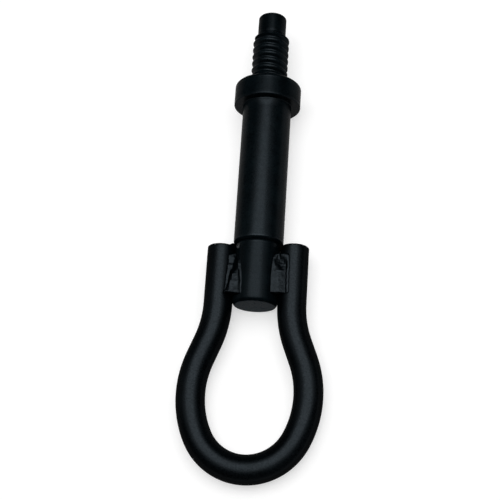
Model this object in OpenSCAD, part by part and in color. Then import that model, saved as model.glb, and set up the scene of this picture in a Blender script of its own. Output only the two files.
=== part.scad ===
// Screw-in tow eye. A loop of bent round bar is welded to the spigot of a turned shank.
// The left-hand thread at the far end screws into the crash beam until the collar seats.
// Sizes are millimetres. The eye lies on its back as it would on a bench: +Y runs from
// the loop to the thread, +Z is up, and the origin is on the bench under its middle.

/* [Loop] */
// Diameter of the round bar that the loop is bent from
bar_d = 12; // [9:0.5:14]
// Inside radius of the eye's round end
eye_inner_r = 16.25; // [14.5:0.25:20]
// Angle from the eye's middle line to each end of its round end
eye_half_angle = 64; // [58:1:70]
// Centreline radius of the bend between the flare and the eye's round end
shoulder_bend_r = 40; // [34:1:55]
// Centreline radius of the bend that turns each leg outwards
flare_bend_r = 45; // [20:1:55]
// Angle that the bar runs outwards between its two bends
flare_angle = 21.3; // [18:0.1:23]
// Gap between the leg tops and the step where the shank begins
leg_top_gap = 1.2; // [0.3:0.1:4]
// Height above the spigot's end face where the legs start to bend
leg_bend_rise = 1; // [-8:0.5:1.5]
// Chamfer on the cut ends of the bar
bar_chamfer = 0.5; // [0.2:0.1:1.5]

/* [Shank] */
// Diameter of the spigot that the legs lie against
spigot_d = 18.8; // [17:0.1:20]
// Length of the spigot
spigot_len = 26.7; // [22:0.1:36]
// Chamfer on the spigot's end
spigot_chamfer = 0.9; // [0.3:0.1:2]
// Diameter of the shank between spigot and collar
shank_d = 21; // [20.5:0.1:24]
// Length of the shank between spigot and collar
shank_len = 64; // [40:1:110]
// Chamfer where the shank steps down to the spigot
step_chamfer = 0.9; // [0.2:0.1:1.2]
// Diameter of the seating collar
collar_d = 28.9; // [26:0.1:36]
// Thickness of the seating collar
collar_t = 10.2; // [5:0.1:16]
// Chamfer round the collar on its thread side
collar_seat_chamfer = 1.1; // [0.3:0.1:2]
// Chamfer round the collar on its loop side
collar_back_chamfer = 0.3; // [0.1:0.1:1]
// Fillet between the shank and the collar
collar_fillet = 0.8; // [0.3:0.1:1.5]

/* [Thread] */
// Major diameter of the thread
thread_d = 16; // [15.6:0.1:18]
// Length of the threaded end
thread_len = 24.4; // [16:0.1:40]
// Distance from one crest of the thread to the next
thread_pitch = 3.3; // [2.5:0.1:4]
// Depth of the thread below its crests
thread_depth = 1.5; // [0.8:0.1:1.8]
// Chamfer at the thread's free end
thread_chamfer = 1.2; // [0.3:0.1:1.6]
// Radial clearance between the plain pilot and the crests of the nut it leads into
pilot_clearance = 0.3; // [0.15:0.05:1]
// Length of the pilot
pilot_len = 9.9; // [4:0.1:16]
// Chamfer on the pilot's tip
pilot_chamfer = 0.6; // [0.2:0.1:1.5]

/* [Welds] */
// Gap left between the spigot and each leg
root_gap = 0.08; // [0.04:0.01:0.2]
// Height of the weld beads' lower ends above the spigot's end face
weld_rise = 4; // [2:0.5:7]
// Length of leg left bare above the weld beads
weld_top_gap = 3.7; // [1:0.1:6]
// Height above the middle plane down to which the beads fill their grooves
weld_root_depth = 1.4; // [0.8:0.1:1.7]
// Height that a bead's face bulges out
weld_crown = 0.5; // [0.3:0.1:0.8]
// Height of the broad lumps in a bead's face
weld_lump = 0.14; // [0:0.02:0.2]
// Height of the finer ripples in a bead's face
weld_ripple = 0.08; // [0:0.01:0.1]
// Radius of the drop of spatter beside the front left bead
spatter_r = 0.9; // [0.4:0.1:1.4]

/* [Hidden] */
$fn = 64;

// Colours
coat = [0.05, 0.055, 0.06];
weld_coat = [0.07, 0.075, 0.08];

// Radii
bar_r = bar_d / 2;
spigot_r = spigot_d / 2;
shank_r = shank_d / 2;
collar_r = collar_d / 2;
thread_r = thread_d / 2;
pilot_r = thread_r - thread_depth - pilot_clearance;

// Heights along the shank, from the spigot's end face
collar_z = spigot_len + shank_len;
seat_z = collar_z + collar_t;
thread_end_z = seat_z + thread_len;
tip_z = thread_end_z + pilot_len;
leg_top_z = spigot_len - leg_top_gap;
weld_top_z = leg_top_z - weld_top_gap;

// The loop's centreline, in X and Z: leg, flare bend, straight run, shoulder bend, round end
leg_x = spigot_r + root_gap + bar_r;
eye_r = eye_inner_r + bar_r;
shoulder_end = 90 - eye_half_angle;
flare_x = leg_x + flare_bend_r * (1 - cos(flare_angle));
flare_z = leg_bend_rise - flare_bend_r * sin(flare_angle);
shoulder_reach = shoulder_bend_r * cos(flare_angle) - (shoulder_bend_r - eye_r) * cos(shoulder_end);
run_len = (shoulder_reach - flare_x) / sin(flare_angle);
run_x = flare_x + run_len * sin(flare_angle);
run_z = flare_z - run_len * cos(flare_angle);
shoulder_x = run_x - shoulder_bend_r * cos(flare_angle);
shoulder_z = run_z - shoulder_bend_r * sin(flare_angle);
eye_z = shoulder_z - (shoulder_bend_r - eye_r) * sin(shoulder_end);
eye_end_z = eye_z - eye_r;

// Each bent length is drawn a hair thinner than its neighbours and reaches into them
draw_thinning = 0.02;
draw_overlap = 0.1;

// Resting pose: the collar's loop-side rim and the far end of the loop touch the bench
rim_z = collar_z + collar_back_chamfer;
lever = rim_z - eye_end_z;
rest_tilt = acos(bar_r / norm([lever, collar_r])) - atan2(lever, collar_r);
rest_height = bar_r - eye_end_z * sin(rest_tilt);
tip_r = pilot_r - pilot_chamfer;
loop_reach = eye_end_z * cos(rest_tilt) - bar_r;
tip_reach = tip_z * cos(rest_tilt) + tip_r * sin(rest_tilt);
middle = (loop_reach + tip_reach) / 2;

// Moves what is modelled upright, thread up and front towards -Y, to where the part lies
module laid_down() {
    translate([0, -middle, rest_height]) rotate([rest_tilt - 90, 0, 0]) children();
}

// Polygon of the shank's half section, radius against height
function shank_outline() = [
    [0, 0],
    [spigot_r - spigot_chamfer, 0],
    [spigot_r, spigot_chamfer],
    [spigot_r, spigot_len],
    [shank_r - step_chamfer, spigot_len],
    [shank_r, spigot_len + step_chamfer],
    [shank_r, collar_z],
    [collar_r - collar_back_chamfer, collar_z],
    [collar_r, rim_z],
    [collar_r, seat_z - collar_seat_chamfer],
    [collar_r - collar_seat_chamfer, seat_z],
    [thread_r, seat_z],
    [thread_r, thread_end_z - thread_chamfer],
    [thread_r - thread_chamfer, thread_end_z],
    [pilot_r, thread_end_z],
    [pilot_r, tip_z - pilot_chamfer],
    [tip_r, tip_z],
    [0, tip_z]
];

// Concave fillet under the collar, as a half section
module fillet_section() {
    difference() {
        translate([0, collar_z - collar_fillet]) square([shank_r + collar_fillet, 2 * collar_fillet]);
        translate([shank_r + collar_fillet, collar_z - collar_fillet]) circle(r = collar_fillet);
    }
}

// Drop of weld spatter stuck to the spigot, level with the leg tops
spatter_angle = 220;

module spatter() {
    rotate([0, 0, spatter_angle]) translate([spigot_r, 0, leg_top_z - spatter_r]) sphere(r = spatter_r);
}

// Space cut out between the thread's crests. Its section is a V with a rounded root, as
// half widths and depths in shares of the pitch and of the depth. It leaves the bar's
// surface beside the collar and winds up past the thread's end, left-handed.
groove_steps = 24;
runout_steps = 3;
seat_clearance = 0.25;
tool_reach = 0.3;
flank_share = [0.2, 0.68];
root_share = [0.08, 1];
mouth_share = 0.3575;
flank_slope = (mouth_share - flank_share[0]) * thread_pitch / (flank_share[1] * thread_depth);
tool_half = mouth_share * thread_pitch + flank_slope * tool_reach;
groove_half_section = [
    [tool_half, -tool_reach],
    [flank_share[0] * thread_pitch, flank_share[1] * thread_depth],
    [root_share[0] * thread_pitch, root_share[1] * thread_depth]
];
groove_section = concat(
    groove_half_section,
    [for (k = [len(groove_half_section) - 1 : -1 : 0]) [-groove_half_section[k][0], groove_half_section[k][1]]]
);
groove_start_z = seat_z + seat_clearance + mouth_share * thread_pitch;
groove_stations = ceil(groove_steps * (thread_len + thread_pitch) / thread_pitch);

function groove_ring(i) =
    let (angle = -360 * i / groove_steps)
    let (lift = (thread_depth + tool_reach) * max(0, 1 - i / runout_steps))
    [
        for (p = groove_section)
            let (r = thread_r + lift - p[1])
            [r * cos(angle), r * sin(angle), groove_start_z + thread_pitch * i / groove_steps + p[0]]
    ];

module thread_groove() {
    around = len(groove_section);
    rings = [for (i = [0 : groove_stations]) each groove_ring(i)];
    sides = [
        for (i = [0 : groove_stations - 1], k = [0 : around - 1])
            let (a = i * around + k)
            let (b = i * around + (k + 1) % around)
            each [[a, b + around, b], [a, a + around, b + around]]
    ];
    start = [for (k = [1 : around - 2]) [0, k, k + 1]];
    finish = [for (k = [1 : around - 2]) [0, k + 1, k] + [1, 1, 1] * groove_stations * around];
    polyhedron(points = rings, faces = concat(sides, start, finish));
}

module shank() {
    color(coat) laid_down() difference() {
        union() {
            rotate_extrude() union() {
                polygon(shank_outline());
                fillet_section();
            }
            spatter();
        }
        thread_groove();
    }
}

// Bar of one radius bent round a centre in X and Z, from one angle through a sweep
module bend(section_r, centre, radius, from, sweep) {
    translate([centre[0], 0, centre[1]]) rotate([90, 0, 0]) rotate([0, 0, from])
        rotate_extrude(angle = sweep) translate([radius, 0]) circle(r = section_r);
}

// Bend between two straighter lengths, reaching a little into both
module joining_bend(centre, radius, from, sweep) {
    reach = draw_overlap / radius * 180 / PI;
    bend(bar_r - draw_thinning, centre, radius, from - reach, sweep + 2 * reach);
}

// Right-hand half of the loop above the eye's round end
module half_loop() {
    square_z = leg_top_z - bar_chamfer;
    translate([leg_x, 0, leg_bend_rise]) cylinder(r = bar_r, h = square_z - leg_bend_rise);
    translate([leg_x, 0, square_z]) cylinder(r1 = bar_r, r2 = bar_r - bar_chamfer, h = bar_chamfer);
    joining_bend([leg_x + flare_bend_r, leg_bend_rise], flare_bend_r, 180, flare_angle);
    translate([flare_x, 0, flare_z]) rotate([0, 180 - flare_angle, 0]) cylinder(r = bar_r, h = run_len);
    joining_bend([shoulder_x, shoulder_z], shoulder_bend_r, -shoulder_end, flare_angle + shoulder_end);
}

module loop() {
    color(coat) laid_down() union() {
        bend(bar_r, [0, eye_z], eye_r, -90 - eye_half_angle, 2 * eye_half_angle);
        half_loop();
        mirror([1, 0, 0]) half_loop();
    }
}

// Weld bead in the front right groove between spigot and leg. The toe angles are measured
// round the spigot and round the leg from where they nearly touch, at the bead's lower
// and upper end, and taper says how late the bead narrows towards its upper end.
weld_stations = 14;
weld_points = 8;
weld_root_sink = 0.5;
weld_toe_sink = 0.25;
weld_toe_turn = 3;
weld_face_lift = 0.12;

function mix(a, b, t) = a + (b - a) * t;

// Unevenness of a bead's face, along and across it
function lumps(along, across, seed) =
    weld_lump * sin(360 * (2.2 * along + seed)) +
    weld_ripple * sin(360 * (4.7 * along + 0.6 * across + 2.3 * seed));

// Point at a distance and angle from the middle of a round bar
function round_point(centre_x, radius, angle) = [centre_x + radius * cos(angle), radius * sin(angle)];

function weld_section(along, toes, taper, seed) =
    let (late = pow(along, taper))
    let (spigot_toe = mix(toes[0], toes[2], late))
    let (leg_toe = mix(toes[1], toes[3], late))
    let (a = round_point(0, spigot_r + weld_face_lift, spigot_toe))
    let (b = round_point(leg_x, bar_r + weld_face_lift, 180 - leg_toe))
    let (out = [a[1] - b[1], b[0] - a[0]] / norm(b - a))
    concat(
        [[leg_x - bar_r + weld_root_sink, weld_root_depth], [spigot_r - weld_root_sink, weld_root_depth]],
        [round_point(0, spigot_r - weld_toe_sink, spigot_toe + weld_toe_turn)],
        [
            for (k = [0 : weld_points])
                let (across = k / weld_points)
                let (bulge = (weld_crown + lumps(along, across, seed)) * sin(180 * across))
                mix(a, b, across) + out * bulge
        ],
        [round_point(leg_x, bar_r - weld_toe_sink, 180 - leg_toe - weld_toe_turn)]
    );

module weld_body(toes, taper, seed) {
    rings = [for (i = [0 : weld_stations]) weld_section(i / weld_stations, toes, taper, seed)];
    around = len(rings[0]);
    points = [
        for (i = [0 : weld_stations], p = rings[i])
            [p[0], -p[1], mix(weld_rise, weld_top_z, i / weld_stations)]
    ];
    sides = [
        for (i = [0 : weld_stations - 1], k = [0 : around - 1])
            let (a = i * around + k)
            let (b = i * around + (k + 1) % around)
            each [[a, b, b + around], [a, b + around, a + around]]
    ];
    bottom = [for (k = [1 : around - 2]) [0, k + 1, k]];
    top = [for (k = [1 : around - 2]) [0, k, k + 1] + [1, 1, 1] * weld_stations * around];
    polyhedron(points = points, faces = concat(sides, bottom, top));
}

module weld(toes, taper, seed) {
    difference() {
        weld_body(toes, taper, seed);
        cylinder(r = spigot_r, h = spigot_len);
        translate([leg_x, 0, leg_bend_rise]) cylinder(r = bar_r, h = leg_top_z - leg_bend_rise);
    }
}

// A bead that narrows upwards, and one that keeps its width and leans on the leg
narrowing = [60, 58, 28, 27];
even = [40, 78, 40, 68];

module weld_front_left() { color(weld_coat) laid_down() mirror([1, 0, 0]) weld(narrowing, 2.4, 0.15); }
module weld_front_right() { color(weld_coat) laid_down() weld(even, 1, 0.4); }
module weld_back_left() { color(weld_coat) laid_down() rotate([0, 0, 180]) weld(even, 1, 0.75); }
module weld_back_right() { color(weld_coat) laid_down() mirror([0, 1, 0]) weld(narrowing, 2.4, 0.6); }

shank();
loop();
weld_front_left();
weld_front_right();
weld_back_left();
weld_back_right();
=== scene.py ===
import math

import bmesh
import bpy
import numpy as np
from mathutils import Matrix, Vector, noise


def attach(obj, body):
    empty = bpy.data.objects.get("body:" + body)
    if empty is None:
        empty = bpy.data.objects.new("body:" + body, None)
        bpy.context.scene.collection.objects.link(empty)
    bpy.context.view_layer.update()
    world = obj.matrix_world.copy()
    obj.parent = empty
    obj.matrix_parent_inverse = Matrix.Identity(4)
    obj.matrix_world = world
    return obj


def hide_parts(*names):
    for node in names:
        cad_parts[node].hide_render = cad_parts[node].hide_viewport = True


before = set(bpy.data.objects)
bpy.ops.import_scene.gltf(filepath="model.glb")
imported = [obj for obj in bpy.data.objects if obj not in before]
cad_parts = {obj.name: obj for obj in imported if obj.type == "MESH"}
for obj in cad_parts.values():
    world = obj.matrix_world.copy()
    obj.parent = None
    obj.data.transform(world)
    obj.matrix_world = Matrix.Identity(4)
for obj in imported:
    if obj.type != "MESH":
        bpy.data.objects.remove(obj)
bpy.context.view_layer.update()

# Sizes of the part's source, in millimetres, in its upright modelling frame: the thread points
# to +Z, the loop lies in X and Z, the camera's side faces -Y, and z is 0 at the spigot's end.
BAR_R = 6.0
BAR_CHAMFER = 0.5
EYE_R = 22.25
EYE_HALF = math.radians(64)
SHOULDER_R = 40.0
FLARE_R = 45.0
FLARE = math.radians(21.3)
SPIGOT_R, SPIGOT_LEN, SPIGOT_CHAMFER = 9.4, 26.7, 0.9
SHANK_R, SHANK_LEN, STEP_CHAMFER = 10.5, 64.0, 0.9
COLLAR_R, COLLAR_T = 14.45, 10.2
COLLAR_SEAT_CHAMFER, COLLAR_BACK_CHAMFER, COLLAR_FILLET = 1.1, 0.3, 0.8
THREAD_R, THREAD_LEN, THREAD_CHAMFER = 8.0, 24.4, 1.2
THREAD_PITCH = 3.3
PILOT_R, PILOT_LEN, PILOT_CHAMFER = 6.2, 9.9, 0.6
ROOT_GAP, LEG_TOP_GAP, LEG_BEND = 0.08, 1.2, 1.0
WELD_LOW, WELD_HIGH = 4.0, 21.8
SPATTER_R, SPATTER_ANGLE = 0.9, math.radians(220)

# Two lengths that differ from the source: the legs are taller and the thread's end is shorter
LEG_RISE = 0.3
THREAD_TRIM = 0.25

COLLAR_Z = SPIGOT_LEN + SHANK_LEN
SEAT_Z = COLLAR_Z + COLLAR_T
THREAD_END = SEAT_Z + THREAD_LEN
PILOT_FOOT = THREAD_END - THREAD_TRIM
TIP_Z = THREAD_END + PILOT_LEN
DRESSED_LEG_TOP = SPIGOT_LEN - LEG_TOP_GAP + LEG_RISE
LEG_X = SPIGOT_R + ROOT_GAP + BAR_R

# The loop's centreline: leg, flare, straight run, shoulder and round end
SHOULDER_END = math.pi / 2 - EYE_HALF
FLARE_X = LEG_X + FLARE_R * (1 - math.cos(FLARE))
FLARE_Z = LEG_BEND - FLARE_R * math.sin(FLARE)
SHOULDER_REACH = SHOULDER_R * math.cos(FLARE) - (SHOULDER_R - EYE_R) * math.cos(SHOULDER_END)
RUN = (SHOULDER_REACH - FLARE_X) / math.sin(FLARE)
RUN_X = FLARE_X + RUN * math.sin(FLARE)
RUN_Z = FLARE_Z - RUN * math.cos(FLARE)
SHOULDER_X = RUN_X - SHOULDER_R * math.cos(FLARE)
SHOULDER_Z = RUN_Z - SHOULDER_R * math.sin(FLARE)
EYE_Z = SHOULDER_Z - (SHOULDER_R - EYE_R) * math.sin(SHOULDER_END)
EYE_END = EYE_Z - EYE_R

# Resting pose: the part lies on the loop's round end and on the collar's loop-side rim
LEVER = COLLAR_Z + COLLAR_BACK_CHAMFER - EYE_END
TILT = math.acos(BAR_R / math.hypot(LEVER, COLLAR_R)) - math.atan2(LEVER, COLLAR_R)
REST_HEIGHT = BAR_R - EYE_END * math.sin(TILT)
LOOP_REACH = EYE_END * math.cos(TILT) - BAR_R
TIP_REACH = TIP_Z * math.cos(TILT) + (PILOT_R - PILOT_CHAMFER) * math.sin(TILT)
MIDDLE = (LOOP_REACH + TIP_REACH) / 2

MM_PER_METRE = 1000
MERGE_DISTANCE = 2e-7


def laid(points):
    """Points of the upright frame, in millimetres, as points of the row frame, in metres."""
    p = np.asarray(points, float).reshape(-1, 3)
    y = p[:, 1] * math.sin(TILT) + p[:, 2] * math.cos(TILT) - MIDDLE
    z = -p[:, 1] * math.cos(TILT) + p[:, 2] * math.sin(TILT) + REST_HEIGHT
    return np.stack([p[:, 0], y, z], axis=1) / MM_PER_METRE


def laid_direction(direction):
    """A direction of the upright frame in the row frame."""
    x, y, z = direction
    laid_y = y * math.sin(TILT) + z * math.cos(TILT)
    laid_z = -y * math.cos(TILT) + z * math.sin(TILT)
    return Vector((x, laid_y, laid_z))


def along_axis(z):
    """Place along the shank, in metres, where the materials' turned coordinates have it."""
    return (z - MIDDLE * math.cos(TILT) + REST_HEIGHT * math.sin(TILT)) / MM_PER_METRE


def add_mesh(name, points, faces, material, replaced):
    """A piece from upright points and faces, with vertices at one place merged."""
    mesh = bpy.data.meshes.new(name)
    mesh.from_pydata([tuple(p) for p in laid(points)], [], faces)
    mesh.validate()
    piece = bpy.data.objects.new(name, mesh)
    bpy.context.scene.collection.objects.link(piece)
    bm = bmesh.new()
    bm.from_mesh(mesh)
    bmesh.ops.remove_doubles(bm, verts=bm.verts, dist=MERGE_DISTANCE)
    bmesh.ops.dissolve_degenerate(bm, edges=bm.edges, dist=MERGE_DISTANCE)
    bmesh.ops.recalc_face_normals(bm, faces=bm.faces)
    bm.to_mesh(mesh)
    bm.free()
    mesh.shade_smooth()
    mesh.materials.append(material)
    if replaced:
        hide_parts(replaced)
    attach(piece, "root")
    return piece


def sharpen(piece, degrees):
    """Marks edges that turn more than an angle as sharp."""
    piece.data.set_sharp_from_angle(angle=math.radians(degrees))


def ring_faces(rings, around):
    """Quads between rings of points that follow one another."""
    faces = []
    for i in range(rings - 1):
        for k in range(around):
            a, b = i * around + k, i * around + (k + 1) % around
            faces.append((a, b, b + around, a + around))
    return faces


# Materials. Colours are linear. The sheen's tint gives the paint its blue cast.
SHEEN_TINT = (0.72, 0.88, 1.0, 1.0)
LOOP_COLOURS = ((0.0002, 0.0006, 0.0009), (0.0006, 0.0014, 0.002))
SHANK_COLOURS = ((0.0008, 0.0018, 0.0024), (0.0019, 0.004, 0.0052))
# The spigot's end face: a lighter colour that is a painted reflection, in place of its sheen
END_FACE_PAINTED_REFLECTION = (0.015, 0.026, 0.034, 1)
# Height in millimetres, from the spigot's end, that still counts as its end face
END_FACE_REACH = 0.02
# Black of the lumps between the legs' ends and the shank's step: painted shade
SHADE_LUMP_COLOUR = (0.0008, 0.0009, 0.001, 1)
# Dark and grey patches of the spatter drop: the grey is partly bare metal and partly painted highlight
SPATTER_COLOURS_AND_GLINT = ((0.006, 0.007, 0.008), (0.05, 0.053, 0.055))

# Specular level against how far a surface turns from the viewer, from 0 where it faces the
# viewer to 1 where it is seen edge-on: satin paint loses its sheen early
LOOP_GLOSS = [
    (0.0, 0.176), (0.07, 0.176), (0.2, 0.057), (0.4, 0.0095), (0.6, 0.0025), (0.8, 0.001), (1.0, 0.0)]
SHANK_GLOSS = [
    (0.0, 0.168), (0.07, 0.168), (0.2, 0.055), (0.32, 0.039), (0.44, 0.024), (0.56, 0.016),
    (0.7, 0.011), (0.95, 0.003)]
# The same for a renderer that can't vary it over the surface
EVEN_GLOSS = 0.12

# Factors of the gloss at places along the shank: worn edges shine, and the collar and the pilot are
# duller than the body. The low factors in the undercut under the step, on chamfers and undersides,
# and on the thread next to the collar and at its end are painted shade: they dull the gloss where
# shade falls. The lists are multiplied. There are four, each for one stretch, because Cycles samples
# a ramp in 256 steps, which are too coarse for one list.
SPIGOT_WEAR_AND_SHADE = [
    (0.02, 0.5), (0.1, 0.14), (1.0, 0.14), (1.5, 0.62), (2.2, 0.77), (SPIGOT_LEN - 1.4, 0.77),
    (SPIGOT_LEN - 0.95, 1.15), (SPIGOT_LEN - 0.75, 1.15), (SPIGOT_LEN - 0.65, 0.07),
    (SPIGOT_LEN + 0.55, 0.07), (SPIGOT_LEN + 0.8, 1.6), (SPIGOT_LEN + 1.3, 1.6), (SPIGOT_LEN + 1.6, 1.0)]
# Painted shade: the body's gloss falls towards the spigot, which evens out the key lamp's falloff
BODY_PAINTED_SHADE = [(SPIGOT_LEN + 1.6, 0.87), (COLLAR_Z - 1.0, 1.0)]
COLLAR_WEAR_AND_SHADE = [
    (COLLAR_Z - 1.0, 1.0), (COLLAR_Z - 0.85, 0.8), (COLLAR_Z - 0.5, 0.8), (COLLAR_Z - 0.4, 1.4),
    (COLLAR_Z - 0.03, 1.4), (COLLAR_Z - 0.01, 0.3), (COLLAR_Z + 0.02, 1.0), (COLLAR_Z + 0.8, 1.0),
    (COLLAR_Z + 1.0, 0.58), (COLLAR_Z + 2.4, 0.52), (COLLAR_Z + 4.0, 0.6), (SEAT_Z - 3.2, 0.6),
    (SEAT_Z - 3.0, 0.82), (SEAT_Z - 2.15, 0.82), (SEAT_Z - 2.1, 1.4), (SEAT_Z - 1.65, 1.4),
    (SEAT_Z - 1.5, 0.4), (SEAT_Z - 0.4, 0.5), (SEAT_Z, 1.0)]
HEAD_WEAR_AND_SHADE = [
    (SEAT_Z, 1.0), (SEAT_Z + 0.1, 1.2), (SEAT_Z + 3.2, 1.2), (SEAT_Z + 3.3, 0.1), (SEAT_Z + 4.3, 0.1),
    (SEAT_Z + 4.4, 1.2), (THREAD_END - 2.1, 1.2), (THREAD_END - 2.0, 0.15), (THREAD_END - 0.5, 0.15),
    (THREAD_END - 0.4, 1.9), (THREAD_END + 0.2, 1.9), (THREAD_END + 0.3, 0.4), (THREAD_END + 0.7, 0.5),
    (THREAD_END + 1.1, 1.4), (THREAD_END + 1.6, 1.4), (THREAD_END + 2.0, 0.85), (THREAD_END + 2.6, 0.68)]
# A stretch's ramp reaches this far past its first and last place
WEAR_AND_SHADE_MARGIN = 0.1


def node_material(name):
    """A new material, its node tree and its shader."""
    material = bpy.data.materials.new(name)
    material.use_nodes = True
    tree = material.node_tree
    return material, tree, tree.nodes["Principled BSDF"]


def add_node(tree, kind, **inputs):
    """A node with some inputs set. An underscore in an input's name stands for a space."""
    node = tree.nodes.new(kind)
    for key, value in inputs.items():
        node.inputs[key.replace("_", " ")].default_value = value
    return node


def add_ramp(tree, source, stops):
    """Colour ramp over a value. A stop is a position with a grey level or a colour."""
    ramp = tree.nodes.new("ShaderNodeValToRGB")
    elements = ramp.color_ramp.elements
    while len(elements) < len(stops):
        elements.new(0.5)
    for element, (position, level) in zip(elements, stops):
        element.position = position
        element.color = (*level, 1) if isinstance(level, tuple) else (level, level, level, 1)
    tree.links.new(source, ramp.inputs["Fac"])
    return ramp.outputs["Color"]


def add_bump(tree, height, distance, under=None):
    """Normal bent by a height of up to a distance in metres, on top of another bent normal."""
    bump = add_node(tree, "ShaderNodeBump", Strength=1.0, Distance=distance)
    tree.links.new(height, bump.inputs["Height"])
    if under:
        tree.links.new(under, bump.inputs["Normal"])
    return bump.outputs["Normal"]


def turned_coordinates(tree):
    """Object coordinates whose Y runs along the shank."""
    coords = tree.nodes.new("ShaderNodeTexCoord")
    turned = add_node(tree, "ShaderNodeMapping", Rotation=(-TILT, 0, 0))
    tree.links.new(coords.outputs["Object"], turned.inputs["Vector"])
    return turned.outputs["Vector"]


def axis_place(tree, vector):
    """Place along the shank, from the turned coordinates."""
    place = tree.nodes.new("ShaderNodeSeparateXYZ")
    tree.links.new(vector, place.inputs[0])
    return place.outputs["Y"]


def add_noise(tree, vector, scale, detail, roughness):
    """Noise value over some coordinates."""
    node = add_node(tree, "ShaderNodeTexNoise", Scale=scale, Detail=detail, Roughness=roughness)
    tree.links.new(vector, node.inputs["Vector"])
    return node.outputs["Fac"]


def add_math(tree, operation, first, second):
    """Result of a sum on a socket and a number or another socket."""
    node = tree.nodes.new("ShaderNodeMath")
    node.operation = operation
    tree.links.new(first, node.inputs[0])
    if isinstance(second, float):
        node.inputs[1].default_value = second
    else:
        tree.links.new(second, node.inputs[1])
    return node.outputs[0]


def add_wear_and_shade(tree, vector, stretch):
    """Gloss factor that changes along a stretch of the shank."""
    first_z, last_z = stretch[0][0], stretch[-1][0]
    start, end = along_axis(first_z - WEAR_AND_SHADE_MARGIN), along_axis(last_z + WEAR_AND_SHADE_MARGIN)
    share = tree.nodes.new("ShaderNodeMapRange")
    share.inputs["From Min"].default_value = start
    share.inputs["From Max"].default_value = end
    tree.links.new(axis_place(tree, vector), share.inputs["Value"])
    most = max(level for _, level in stretch)
    stops = [((along_axis(z) - start) / (end - start), level / most) for z, level in stretch]
    return add_math(tree, "MULTIPLY", add_ramp(tree, share.outputs["Result"], stops), most)


def paint_end_face_reflection(tree, vector, colour):
    """Lighter colour painted on the spigot's end face: a painted reflection, in place of its sheen."""
    on_face = add_math(tree, "LESS_THAN", axis_place(tree, vector), along_axis(END_FACE_REACH))
    mix = tree.nodes.new("ShaderNodeMix")
    mix.data_type = "RGBA"
    # A Mix node has inputs for numbers and vectors as well: these three are its colour ones
    factor, first, second = mix.inputs[0], mix.inputs[6], mix.inputs[7]
    tree.links.new(on_face, factor)
    tree.links.new(colour, first)
    second.default_value = END_FACE_PAINTED_REFLECTION
    return mix.outputs[2]


def turned_lines(tree, vector, distance):
    """Normal with the fine rings that a lathe leaves."""
    rings = add_node(tree, "ShaderNodeTexWave", Scale=700.0, Distortion=1.5, Detail=2.0, Detail_Scale=0.6)
    rings.wave_type = "BANDS"
    rings.bands_direction = "Y"
    tree.links.new(vector, rings.inputs["Vector"])
    return add_bump(tree, rings.outputs["Fac"], distance)


def coat_material(name, colours, gloss, rough, fineness, grain, wave, turning=None):
    """Satin black coating: cloudy near-black colour, uneven sheen and a fine orange-peel grain.

    Rough is the range of the roughness, and fineness is the scale of its patches. Grain, wave and
    turning are heights in metres. Only turned pieces have a turning, and with it wear, painted shade
    in the gloss and a painted reflection on the end face.
    """
    material, tree, shader = node_material(name)
    link = tree.links.new
    vector = turned_coordinates(tree)
    facing = add_node(tree, "ShaderNodeLayerWeight", Blend=0.5).outputs["Facing"]
    level = add_ramp(tree, facing, gloss)
    # Gloss factors along the shank, for wear and for painted shade
    if turning:
        for stretch in (SPIGOT_WEAR_AND_SHADE, BODY_PAINTED_SHADE, COLLAR_WEAR_AND_SHADE, HEAD_WEAR_AND_SHADE):
            level = add_math(tree, "MULTIPLY", level, add_wear_and_shade(tree, vector, stretch))
    shader.inputs["Specular IOR Level"].default_value = EVEN_GLOSS
    link(level, shader.inputs["Specular IOR Level"])
    shader.inputs["Specular Tint"].default_value = SHEEN_TINT

    cloud = add_noise(tree, vector, scale=160.0, detail=4.0, roughness=0.6)
    colour = add_ramp(tree, cloud, [(0.35, colours[0]), (0.7, colours[1])])
    if turning:
        # A painted reflection: the end face gets a lighter colour in place of its sheen
        colour = paint_end_face_reflection(tree, vector, colour)
    link(colour, shader.inputs["Base Color"])
    sheen = add_noise(tree, vector, scale=fineness, detail=5.0, roughness=0.65)
    link(add_ramp(tree, sheen, [(0.3, rough[0]), (0.7, rough[1])]), shader.inputs["Roughness"])

    normal = turned_lines(tree, vector, turning) if turning else None
    waves = add_noise(tree, vector, scale=260.0, detail=2.0, roughness=0.5)
    normal = add_bump(tree, waves, wave, normal)
    grains = add_noise(tree, vector, scale=2600.0, detail=3.0, roughness=0.55)
    normal = add_bump(tree, grains, grain, normal)
    link(normal, shader.inputs["Normal"])
    return material


def spatter_material():
    """Half-bare metal of a drop that the coating hardly took to. Its grey patches are partly a painted
    highlight, a colour in place of the drop's glint.
    """
    material, tree, shader = node_material("spatter_metal_and_glint")
    vector = turned_coordinates(tree)
    patches = add_noise(tree, vector, scale=1400.0, detail=2.0, roughness=0.5)
    colour = add_ramp(tree, patches, [(0.42, SPATTER_COLOURS_AND_GLINT[0]), (0.52, SPATTER_COLOURS_AND_GLINT[1])])
    tree.links.new(colour, shader.inputs["Base Color"])
    shader.inputs["Roughness"].default_value = 0.5
    shader.inputs["Specular IOR Level"].default_value = 0.1
    return material


def shade_lump_material():
    """Dull black of the lumps that are painted shade."""
    material, _, shader = node_material("shade_lump_black")
    shader.inputs["Base Color"].default_value = SHADE_LUMP_COLOUR
    shader.inputs["Roughness"].default_value = 0.7
    shader.inputs["Specular IOR Level"].default_value = 0.003
    return material


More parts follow.
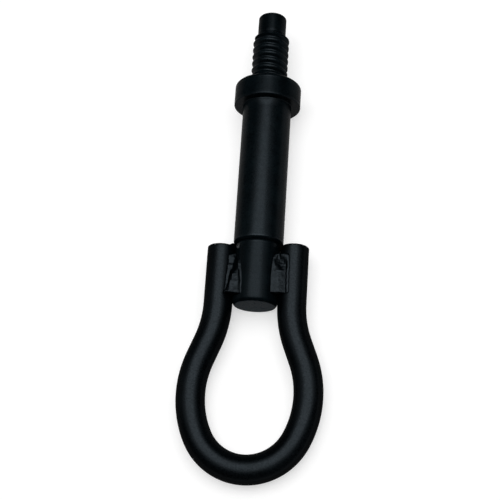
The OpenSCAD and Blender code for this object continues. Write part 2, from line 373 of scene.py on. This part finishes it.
coat = coat_material("coat_bar", LOOP_COLOURS, LOOP_GLOSS, rough=(0.18, 0.5), fineness=1500.0,
                     grain=0.000004, wave=0.00004)
turned_coat = coat_material("coat_turned", SHANK_COLOURS, SHANK_GLOSS, rough=(0.2, 0.4), fineness=900.0,
                            grain=0.000003, wave=0.00001, turning=0.0000015)
weld_coat = coat_material("coat_weld", LOOP_COLOURS, LOOP_GLOSS, rough=(0.24, 0.5), fineness=900.0,
                          grain=0.000006, wave=0.00008)
spatter_metal_and_glint = spatter_material()
shade_lump_black = shade_lump_material()


# Loop
LEG_STEPS, FLARE_STEPS, RUN_STEPS, SHOULDER_STEPS, EYE_STEPS = 30, 36, 10, 70, 60
AROUND_BAR = 96
LOOP_SHARP_ANGLE = 50
# Rings that round the cut ends: distance back from the end, and share of the bar's radius
CUT_RINGS = [
    (0.0, 0.06), (0.0, 0.6), (0.0, 0.85), (0.0, 1.0 - BAR_CHAMFER / BAR_R), (0.08, 1.0 - 0.4 / BAR_R),
    (0.3, 1.0 - 0.12 / BAR_R), (0.5, 1.0 - 0.02 / BAR_R), (0.8, 1.0)]


def centreline():
    """Centre points and tangents of the loop, from the right leg's top round to the left leg's."""
    half = []
    for z in np.linspace(DRESSED_LEG_TOP, LEG_BEND, LEG_STEPS, endpoint=False):
        half.append((LEG_X, z, 0, -1))
    for a in np.linspace(0, FLARE, FLARE_STEPS, endpoint=False):
        x = LEG_X + FLARE_R * (1 - math.cos(a))
        half.append((x, LEG_BEND - FLARE_R * math.sin(a), math.sin(a), -math.cos(a)))
    for t in np.linspace(0, RUN, RUN_STEPS, endpoint=False):
        x = FLARE_X + t * math.sin(FLARE)
        half.append((x, FLARE_Z - t * math.cos(FLARE), math.sin(FLARE), -math.cos(FLARE)))
    for a in np.linspace(FLARE, -SHOULDER_END, SHOULDER_STEPS, endpoint=False):
        x = SHOULDER_X + SHOULDER_R * math.cos(a)
        half.append((x, SHOULDER_Z + SHOULDER_R * math.sin(a), math.sin(a), -math.cos(a)))
    for a in np.linspace(-SHOULDER_END, -math.pi / 2, EYE_STEPS):
        half.append((EYE_R * math.cos(a), EYE_Z + EYE_R * math.sin(a), math.sin(a), -math.cos(a)))
    other = [(-x, z, tx, -tz) for x, z, tx, tz in reversed(half[:-1])]
    return half + other


def make_loop():
    """Round bar along the centreline, closed by a flat face at either end."""
    line = centreline()
    first, last = line[0], line[-1]
    rings = [(first[0], first[1] - back, first[2], first[3], share) for back, share in CUT_RINGS]
    rings += [(*p, 1.0) for p in line[2:-2]]
    rings += [(last[0], last[1] - back, last[2], last[3], share) for back, share in reversed(CUT_RINGS)]
    points = []
    for x, z, tx, tz, share in rings:
        for k in range(AROUND_BAR):
            a = 2 * math.pi * k / AROUND_BAR
            r = BAR_R * share
            points.append((x + r * math.cos(a) * tz, r * math.sin(a), z - r * math.cos(a) * tx))
    faces = ring_faces(len(rings), AROUND_BAR)
    faces.append(tuple(range(AROUND_BAR - 1, -1, -1)))
    faces.append(tuple((len(rings) - 1) * AROUND_BAR + k for k in range(AROUND_BAR)))
    piece = add_mesh("loop_bar", points, faces, coat, "loop")
    sharpen(piece, LOOP_SHARP_ANGLE)


# Shank
AROUND_SHANK = 160
SHANK_SHARP_ANGLE = 38
CORNER_POINTS = 7
LONGEST_STEP = 2.5
RING_SPACE = 0.1
# Turned lines on the spigot: distances below the step, depth and half width
SPIGOT_RINGS_BELOW_STEP = (3.9, 2.9, 1.9)
SPIGOT_RING_DEPTH, SPIGOT_RING_HALF = 0.03, 0.16
# Shallow relief on the spigot: where its slope starts and ends below the step, and its depth
RELIEF_START, RELIEF_FLOOR, RELIEF_DEPTH = 0.95, 0.75, 0.45
# Slight cone under the collar: where it starts and ends, and how far it rises
CONE_START, CONE_END, CONE_RISE = 1.4, 0.1, 0.28
# Inner rims of the collar and the pilot, which end inside the thread
SEAT_INNER_R = THREAD_R - 1.8
FOOT_INNER_R, FOOT_INNER_DEPTH = THREAD_R - 2.9, 0.5
# Turned line round the pilot's foot
FOOT_RING_Z, FOOT_RING_DEPTH, FOOT_RING_HALF = THREAD_END + 0.85, 0.05, 0.2


def rounded(outline, cuts):
    """The outline with some corners rounded. A cut is the corner's point and its cut-back length."""
    done = []
    for i, p in enumerate(outline):
        cut = cuts.get(p)
        if not cut:
            done.append(p)
            continue
        p, a, b = np.array(p), np.array(outline[i - 1]), np.array(outline[i + 1])
        start = p + (a - p) / np.linalg.norm(a - p) * cut
        end = p + (b - p) / np.linalg.norm(b - p) * cut
        for t in np.linspace(0, 1, CORNER_POINTS):
            done.append(tuple((1 - t) ** 2 * start + 2 * t * (1 - t) * p + t * t * end))
    return done


def revolve(outline):
    """Points and faces of a half section turned round the shank's axis."""
    points = []
    for r, z in outline:
        for k in range(AROUND_SHANK):
            a = 2 * math.pi * k / AROUND_SHANK
            points.append((r * math.cos(a), r * math.sin(a), z))
    return points, ring_faces(len(outline), AROUND_SHANK)


def densify(outline):
    """Extra points along long straight stretches, so that long thin faces stay few."""
    done = [outline[0]]
    for p, q in zip(outline, outline[1:]):
        n = max(1, int(math.dist(p, q) / LONGEST_STEP))
        for i in range(1, n + 1):
            done.append((p[0] + (q[0] - p[0]) * i / n, p[1] + (q[1] - p[1]) * i / n))
    return done


def ring_mark(r, z, depth, half):
    """A shallow turned line round a cylinder, as outline points, with one more on either side."""
    before, after = z - half - RING_SPACE, z + half + RING_SPACE
    return [(r, before), (r, z - half), (r - depth, z), (r, z + half), (r, after)]


def body_outline():
    """Half section from the spigot's end face to the collar's thread side."""
    spigot_rim = (SPIGOT_R - SPIGOT_CHAMFER, 0.0)
    spigot_edge = (SPIGOT_R, SPIGOT_CHAMFER)
    step_edge = (SHANK_R - STEP_CHAMFER, SPIGOT_LEN)
    shank_edge = (SHANK_R, SPIGOT_LEN + STEP_CHAMFER)
    back_rim = (COLLAR_R - COLLAR_BACK_CHAMFER, COLLAR_Z)
    back_edge = (COLLAR_R, COLLAR_Z + COLLAR_BACK_CHAMFER)
    front_edge = (COLLAR_R, SEAT_Z - COLLAR_SEAT_CHAMFER)
    seat_rim = (COLLAR_R - COLLAR_SEAT_CHAMFER, SEAT_Z)
    relief_r = SPIGOT_R - RELIEF_DEPTH
    lower = [(0.0, 0.0), spigot_rim, spigot_edge]
    for below in SPIGOT_RINGS_BELOW_STEP:
        lower += ring_mark(SPIGOT_R, SPIGOT_LEN - below, SPIGOT_RING_DEPTH, SPIGOT_RING_HALF)
    lower += [(SPIGOT_R, SPIGOT_LEN - RELIEF_START), (relief_r, SPIGOT_LEN - RELIEF_FLOOR)]
    lower += [(relief_r, SPIGOT_LEN), step_edge, shank_edge]
    upper = [(SHANK_R, COLLAR_Z - CONE_START), (SHANK_R + CONE_RISE, COLLAR_Z - CONE_END)]
    upper += [(SHANK_R + COLLAR_FILLET / 2, COLLAR_Z)]
    upper += [back_rim, back_edge, front_edge, seat_rim, (SEAT_INNER_R, SEAT_Z)]
    cuts = {spigot_rim: 0.18, spigot_edge: 0.9, step_edge: 0.1, shank_edge: 0.25,
            back_rim: 0.12, back_edge: 0.15, front_edge: 0.5, seat_rim: 0.5}
    return densify(rounded(lower + upper, cuts))


def pilot_outline():
    """Half section of the pilot, with the turned line at its foot."""
    foot = [(FOOT_INNER_R, PILOT_FOOT - FOOT_INNER_DEPTH), (THREAD_R - THREAD_CHAMFER, PILOT_FOOT)]
    foot += [(PILOT_R, PILOT_FOOT)]
    foot += ring_mark(PILOT_R, FOOT_RING_Z, FOOT_RING_DEPTH, FOOT_RING_HALF)
    edge, rim = (PILOT_R, TIP_Z - PILOT_CHAMFER), (PILOT_R - PILOT_CHAMFER, TIP_Z)
    return densify(rounded(foot + [edge, rim, (0.0, TIP_Z)], {edge: 0.3, rim: 0.2}))


# Rows across one pitch of the thread: height above the middle of the crest, and depth. The
# crest is narrow and sharp-edged, and the valley has a rounded root.
THREAD_ROWS = [
    (-0.58, 0.22), (-0.16, 0.02), (-0.11, 0.0), (0.31, 0.0), (0.36, 0.02), (0.7, 0.22), (0.86, 0.55),
    (1.2, 1.3), (1.38, 1.46), (1.65, 1.5), (1.92, 1.46), (2.1, 1.3), (2.5, 0.55)]
# Turns the helix to where the photo has its lines
THREAD_CLOCKING = -0.62
# The strip reaches into the collar, and the groove deepens gradually from the seat
THREAD_SUNK = 0.3
RUN_IN_START, RUN_IN_LEN = 0.1, 0.7
# Turns beyond those that fit whole: the rows start one early and fall by one on the way round,
# and the last one is cut off
SPARE_TURNS = 3


def make_thread():
    """Left-hand thread as a strip whose rows follow the helix, cut off flat at both ends."""
    rows = len(THREAD_ROWS)
    turns = int(THREAD_LEN / THREAD_PITCH) + SPARE_TURNS
    low, high = SEAT_Z - THREAD_SUNK, PILOT_FOOT
    points, faces = [], []
    for k in range(AROUND_SHANK):
        a = 2 * math.pi * k / AROUND_SHANK
        drop = THREAD_PITCH * (k / AROUND_SHANK)
        for j in range(turns * rows):
            up, depth = THREAD_ROWS[j % rows]
            z = SEAT_Z + THREAD_CLOCKING + (j // rows - 1) * THREAD_PITCH + up - drop
            fade = min(1.0, max(0.0, (z - SEAT_Z - RUN_IN_START) / RUN_IN_LEN))
            r = THREAD_R - depth * fade * fade * (3 - 2 * fade)
            r = min(r, THREAD_R - THREAD_CHAMFER + max(0.0, PILOT_FOOT - z))
            z = min(max(z, low), high)
            points.append((r * math.cos(a), r * math.sin(a), z))
    count = turns * rows
    for k in range(AROUND_SHANK):
        for j in range(count - 1):
            a, b = k * count + j, k * count + j + 1
            if k < AROUND_SHANK - 1:
                c, d = b + count, a + count
            elif j - rows >= 0:
                c, d = j + 1 - rows, j - rows
            else:
                continue
            faces.append((a, d, c, b))
    return points, faces


def make_shank():
    """Body, pilot and thread as one piece."""
    points, faces = revolve(body_outline())
    for more, more_faces in (revolve(pilot_outline()), make_thread()):
        faces += [tuple(i + len(points) for i in f) for f in more_faces]
        points += more
    piece = add_mesh("shank_turned", points, faces, turned_coat, "shank")
    sharpen(piece, SHANK_SHARP_ANGLE)


# Spatter, and dark lumps that are painted shade
AROUND_DROP = 32
SPATTER_BELOW_LEG_TOP = 0.4
SPATTER_STRETCH = 1.2
# The drop from its rim to its middle: share of its radius, and height above the spigot
SPATTER_PROFILE = [
    (1.0, -0.3), (1.0, 0.1), (0.95, 0.35), (0.82, 0.6), (0.65, 0.74), (0.5, 0.7), (0.35, 0.3), (0.0, 0.1)]
SHADE_LUMP_ROWS = 16
# How far a dark lump departs from an ellipsoid, and how many bumps it has
SHADE_LUMP_SWELL, SHADE_LUMP_BUMPS = 0.18, 1.7


def make_spatter():
    """Drop of spatter on the spigot: a low dome with a dimple in its middle."""
    out = Vector((math.cos(SPATTER_ANGLE), math.sin(SPATTER_ANGLE), 0))
    side = Vector((-math.sin(SPATTER_ANGLE), math.cos(SPATTER_ANGLE), 0))
    middle_z = SPIGOT_LEN - LEG_TOP_GAP - SPATTER_R - SPATTER_BELOW_LEG_TOP
    centre = out * SPIGOT_R + Vector((0, 0, middle_z))
    points = []
    for r, rise in SPATTER_PROFILE:
        for k in range(AROUND_DROP):
            a = 2 * math.pi * k / AROUND_DROP
            across = side * (r * SPATTER_R * math.cos(a))
            up = Vector((0, 0, SPATTER_STRETCH * r * SPATTER_R * math.sin(a)))
            points.append(tuple(centre + out * rise + across + up))
    faces = ring_faces(len(SPATTER_PROFILE), AROUND_DROP)
    add_mesh("spatter_drop", points, faces, spatter_metal_and_glint, None)


def make_shade_lump(name, middle, radii):
    """Dark lump between a leg's end and the shank's step: painted shade in that gap."""
    points = []
    for i in range(SHADE_LUMP_ROWS + 1):
        up = math.pi * (i / SHADE_LUMP_ROWS - 0.5)
        for k in range(AROUND_DROP):
            a = 2 * math.pi * k / AROUND_DROP
            d = (math.cos(up) * math.cos(a), math.cos(up) * math.sin(a), math.sin(up))
            swell = 1 + SHADE_LUMP_SWELL * noise.noise(Vector(d) * SHADE_LUMP_BUMPS)
            points.append(tuple(m + r * v * swell for m, r, v in zip(middle, radii, d)))
    add_mesh(name, points, ring_faces(SHADE_LUMP_ROWS + 1, AROUND_DROP), shade_lump_black, None)


# Welds. A face is its height above the straight line between its toes, at some places along the
# bead and, at each, some places across it from the spigot's toe to the leg's.
LEFT_FACE = [
    (0.0, [(0, 0), (0.05, 0.25), (0.1, 0.28), (0.76, 2.75), (0.8, 2.65), (0.88, 0.25), (0.96, 0.55),
           (1, 0)]),
    (0.25, [(0, 0), (0.06, 0.35), (0.13, 0.2), (0.2, 0.3), (0.56, 2.0), (0.61, 1.9), (0.84, 0.1),
            (0.95, 0.6), (1, 0)]),
    (0.45, [(0, 0), (0.08, 0.42), (0.16, 0.2), (0.22, 0.2), (0.48, 1.4), (0.54, 1.25), (0.82, -0.1),
            (0.95, 0.6), (1, 0)]),
    (0.6, [(0, 0), (0.15, 0.75), (0.22, 0.3), (0.4, 0.35), (0.6, -0.15), (0.7, -0.3), (0.94, 0.75),
           (1, 0)]),
    (0.75, [(0, 0), (0.14, 0.7), (0.2, 0.2), (0.5, -0.45), (0.68, -0.5), (0.94, 0.9), (1, 0)]),
    (0.87, [(0, 0), (0.18, 0.6), (0.25, 0.2), (0.5, -0.2), (0.6, 0.0), (0.93, 1.8), (1, 0)]),
    (0.94, [(0, 0), (0.2, 0.4), (0.35, 0.3), (0.9, 2.3), (1, 0.2)]),
    (1.0, [(0, 0), (0.2, 0.5), (0.75, 1.9), (0.9, 1.6), (1, 0)])]
RIGHT_FACE = [
    (0.0, [(0, 0), (0.04, 0.33), (0.44, 0.5), (0.5, 0.36), (0.79, -0.36), (0.84, 0.2), (0.87, 0.33),
           (0.96, 0.36), (1, 0)]),
    (0.55, [(0, 0), (0.05, 0.35), (0.44, 0.5), (0.5, 0.36), (0.79, -0.36), (0.84, 0.2), (0.87, 0.33),
            (0.96, 0.36), (1, 0)]),
    (0.66, [(0, 0), (0.05, 0.35), (0.22, 0.42), (0.34, 0), (0.5, -0.45), (0.78, -0.6), (0.84, 0.1),
            (0.87, 0.3), (0.96, 0.36), (1, 0)]),
    (0.76, [(0, 0), (0.06, 0.35), (0.16, 0.4), (0.24, -0.1), (0.5, -0.8), (0.66, -0.7), (0.8, -0.1),
            (0.88, 0.3), (0.96, 0.38), (1, 0)]),
    (0.84, [(0, 0), (0.08, 0.25), (0.2, 0.1), (0.34, -0.5), (0.46, -0.8), (0.6, -0.3), (0.72, 0.1),
            (0.85, 0.4), (0.95, 0.4), (1, 0)]),
    (0.92, [(0, 0), (0.1, 0.2), (0.24, 0.2), (0.34, -0.3), (0.4, -0.3), (0.5, 0.4), (0.66, 0.4),
            (0.8, 0.5), (0.94, 0.45), (1, 0)]),
    (1.0, [(0, 0), (0.2, 0.15), (0.5, 0.5), (0.75, 0.4), (1, 0)])]

# Where the toes run: place along the bead, and the angles round the spigot and round the leg
NARROWING = [(0.0, 61, 58), (0.25, 61, 54), (0.45, 59, 52), (0.69, 54, 46), (0.87, 46, 35), (1.0, 39, 26)]
EVEN = [(0.0, 43, 84), (0.25, 43.5, 83), (0.48, 43.5, 82), (0.7, 43, 82), (0.87, 41, 80), (1.0, 36, 76)]

BEAD_STATIONS, BEAD_COLUMNS = 140, 64
# Levels that close a bead's ends: distance from the end, and how far the section shrinks there
BEAD_BOTTOM = [(0.0, 1.0), (0.0, 0.45), (0.02, 0.2), (0.1, 0.09), (0.25, 0.03), (0.5, 0.0)]
BEAD_TOP = [(0.9, 0.0), (0.5, 0.05), (0.22, 0.14), (0.06, 0.3), (0.0, 0.6), (0.0, 1.0)]
BEAD_BODY_START, BEAD_BODY_END = 0.6, 1.0
# The ends shrink towards this point in the gap between spigot and leg
BEAD_ROOT = np.array([SPIGOT_R + ROOT_GAP / 2, 1.4])
TOE_SINK, FACE_LIFT = 0.05, 0.02
# Unevenness of the face: height, and how fast it changes across and along the bead
FACE_NOISE = [(0.09, 5, 11), (0.05, 12, 30)]
# Wander of the toes: degrees, how fast it changes along the bead, and which noise it takes
SPIGOT_TOE_NOISE, LEG_TOE_NOISE = (1.6, 7, 0.3), (2.0, 8, 4.1)
DROOP = 1.1


def rough(x, y, seed):
    """Smooth noise from -1 to 1."""
    return noise.noise(Vector((x, y, seed)))


def face_height(face, across, along, seed):
    """Height of a bead's face at a place across and along it."""
    places = [place for place, _ in face]
    here = [np.interp(across, *zip(*line)) for _, line in face]
    uneven = sum(height * rough(across * fast, along * faster, seed) for height, fast, faster in FACE_NOISE)
    return np.interp(along, places, here) + uneven * math.sin(math.pi * across) ** 0.5


def toe_angle(places, angles, along, wander, seed):
    """Angle of a toe round its bar, in radians, at a place along the bead."""
    degrees, fast, kind = wander
    return math.radians(np.interp(along, places, angles) + degrees * rough(along * fast, kind, seed))


def make_weld(name, node, toes, face, droop, seed, flip_x, flip_y):
    """Bead between spigot and leg, drawn on the front right and mirrored to its place.

    The droop is how far the spigot's side sinks at the bead's lower end.
    """
    levels = [(WELD_LOW + up, shrink) for up, shrink in BEAD_BOTTOM]
    body = np.linspace(WELD_LOW + BEAD_BODY_START, WELD_HIGH - BEAD_BODY_END, BEAD_STATIONS)
    levels += [(z, 0.0) for z in body]
    levels += [(WELD_HIGH - down, shrink) for down, shrink in BEAD_TOP]
    places, spigot_toes, leg_toes = zip(*toes)
    spigot_r, bar_r = SPIGOT_R - TOE_SINK, BAR_R - TOE_SINK
    points, faces = [], []
    for z, shrink in levels:
        along = (z - WELD_LOW) / (WELD_HIGH - WELD_LOW)
        spigot_toe = toe_angle(places, spigot_toes, along, SPIGOT_TOE_NOISE, seed)
        leg_toe = toe_angle(places, leg_toes, along, LEG_TOE_NOISE, seed)
        a = np.array([spigot_r * math.cos(spigot_toe), spigot_r * math.sin(spigot_toe)])
        b = np.array([LEG_X - bar_r * math.cos(leg_toe), bar_r * math.sin(leg_toe)])
        chord = b - a
        out = np.array([-chord[1], chord[0]]) / np.linalg.norm(chord)
        for k in range(BEAD_COLUMNS + 1):
            t = k / BEAD_COLUMNS
            p = a + chord * t + out * (face_height(face, t, along, seed) + FACE_LIFT)
            p = p + (BEAD_ROOT - p) * shrink
            lower = droop * (1 - t) * (1 - along) ** 2
            points.append((p[0] * flip_x, -p[1] * flip_y, z - lower))
    row = BEAD_COLUMNS + 1
    for i in range(len(levels) - 1):
        for k in range(BEAD_COLUMNS):
            a, b = i * row + k, i * row + k + 1
            faces.append((a, b, b + row, a + row))
    add_mesh(name, points, faces, weld_coat, node)


make_loop()
make_shank()
make_spatter()
# Dark lumps in the gaps between the legs' ends and the step: painted shade, put where shade falls
make_shade_lump("shade_lump_left", middle=(-10.5, -1.1, 25.7), radii=(1.9, 1.7, 1.4))
make_shade_lump("shade_lump_right", middle=(9.7, -2.0, 25.2), radii=(1.6, 1.6, 1.5))
make_weld("bead_front_left", "weld_front_left", NARROWING, LEFT_FACE, DROOP, seed=3.1, flip_x=-1, flip_y=1)
make_weld("bead_front_right", "weld_front_right", EVEN, RIGHT_FACE, 0.0, seed=7.7, flip_x=1, flip_y=1)
make_weld("bead_back_left", "weld_back_left", EVEN, RIGHT_FACE, 0.0, seed=12.4, flip_x=-1, flip_y=-1)
make_weld("bead_back_right", "weld_back_right", NARROWING, LEFT_FACE, DROOP, seed=17.9, flip_x=1, flip_y=-1)


# Floor and world. The floor glows only where the camera sees it, straight or in a reflection,
# so that it is white behind the part and doesn't light it.
FLOOR_SIZE = 12
FLOOR_BASE = 0.55
FLOOR_GLOW = 0.55
WORLD_LEVEL = 0.03


def make_floor():
    """Pale floor that shows white to the camera."""
    bpy.ops.mesh.primitive_plane_add(size=FLOOR_SIZE, location=(0, 0, 0))
    floor = bpy.context.object
    floor.name = "floor"
    material, tree, shader = node_material("floor_white")
    shader.inputs["Base Color"].default_value = (FLOOR_BASE, FLOOR_BASE, FLOOR_BASE, 1)
    shader.inputs["Roughness"].default_value = 0.9
    shader.inputs["Specular IOR Level"].default_value = 0.0
    rays = tree.nodes.new("ShaderNodeLightPath")
    seen = rays.outputs["Is Camera Ray"]
    for kind in ("Is Glossy Ray", "Is Transmission Ray"):
        seen = add_math(tree, "MAXIMUM", seen, rays.outputs[kind])
    shader.inputs["Emission Color"].default_value = (1, 1, 1, 1)
    tree.links.new(add_math(tree, "MULTIPLY", seen, FLOOR_GLOW), shader.inputs["Emission Strength"])
    floor.data.materials.append(material)


make_floor()
world = bpy.data.worlds.new("studio")
world.use_nodes = True
world.node_tree.nodes["Background"].inputs["Color"].default_value = (1, 1, 1, 1)
world.node_tree.nodes["Background"].inputs["Strength"].default_value = WORLD_LEVEL
bpy.context.scene.world = world
bpy.context.scene.view_settings.view_transform = "Standard"


# Camera, fitted to the photograph's outlines: degrees, millimetres and pixels. Its target is
# given as (x, height along the shank, depth towards the camera).
CAMERA_PITCH, CAMERA_YAW, CAMERA_ROLL = 18.951422, 10.510545, 3.793177
CAMERA_TARGET = (-3.466746, 24.668991, 0.0)
CAMERA_DISTANCE = 474.679076
CAMERA_LENS_PIXELS = 1129.728329
PHOTO_PIXELS = 500
SENSOR_WIDTH = 36


def from_camera_fit(v):
    """A point or direction of the fit's own axes in the upright frame."""
    return (v[0], -v[2], v[1])


def camera_axes():
    """The camera's place and its right, up and back directions, in the row frame."""
    pitch, yaw, roll = math.radians(CAMERA_PITCH), math.radians(CAMERA_YAW), math.radians(CAMERA_ROLL)
    back = np.array([math.sin(yaw) * math.cos(pitch), -math.sin(pitch), math.cos(yaw) * math.cos(pitch)])
    place = np.array(CAMERA_TARGET) + CAMERA_DISTANCE * back
    right = np.cross((0, 1, 0), back)
    right /= np.linalg.norm(right)
    up = np.cross(back, right)
    turned_right = right * math.cos(roll) + up * math.sin(roll)
    turned_up = -right * math.sin(roll) + up * math.cos(roll)
    at = Vector(laid([from_camera_fit(place)])[0])
    return at, *[laid_direction(from_camera_fit(v)) for v in (turned_right, turned_up, back)]


at, right, up, back = camera_axes()
camera_data = bpy.data.cameras.new("camera")
camera_data.sensor_fit = "HORIZONTAL"
camera_data.sensor_width = SENSOR_WIDTH
camera_data.lens = SENSOR_WIDTH * CAMERA_LENS_PIXELS / PHOTO_PIXELS
camera_data.clip_start = 0.01
camera_data.clip_end = 50
camera = bpy.data.objects.new("camera", camera_data)
camera.matrix_world = Matrix((
    (right.x, up.x, back.x, at.x),
    (right.y, up.y, back.y, at.y),
    (right.z, up.z, back.z, at.z),
    (0, 0, 0, 1)))
bpy.context.scene.collection.objects.link(camera)
bpy.context.scene.camera = camera


def softbox(name, place, width, height, power):
    """Rectangular lamp aimed at the origin, which is under the part's middle."""
    data = bpy.data.lights.new(name, "AREA")
    data.shape = "RECTANGLE"
    data.size = width
    data.size_y = height
    data.energy = power
    lamp = bpy.data.objects.new(name, data)
    lamp.location = place
    lamp.rotation_euler = (-Vector(place)).to_track_quat("-Z", "Y").to_euler()
    bpy.context.scene.collection.objects.link(lamp)


softbox("key", (0.045, 0.03, 0.64), width=0.64, height=0.66, power=3.45)
softbox("sky", (0.03, 0.05, 0.75), width=1.3, height=1.3, power=2.4)
softbox("right_fill", (0.45, 0.1, 0.48), width=0.25, height=0.5, power=0.22)
softbox("left_fill", (-0.55, 0.05, 0.3), width=0.3, height=0.6, power=0.4)
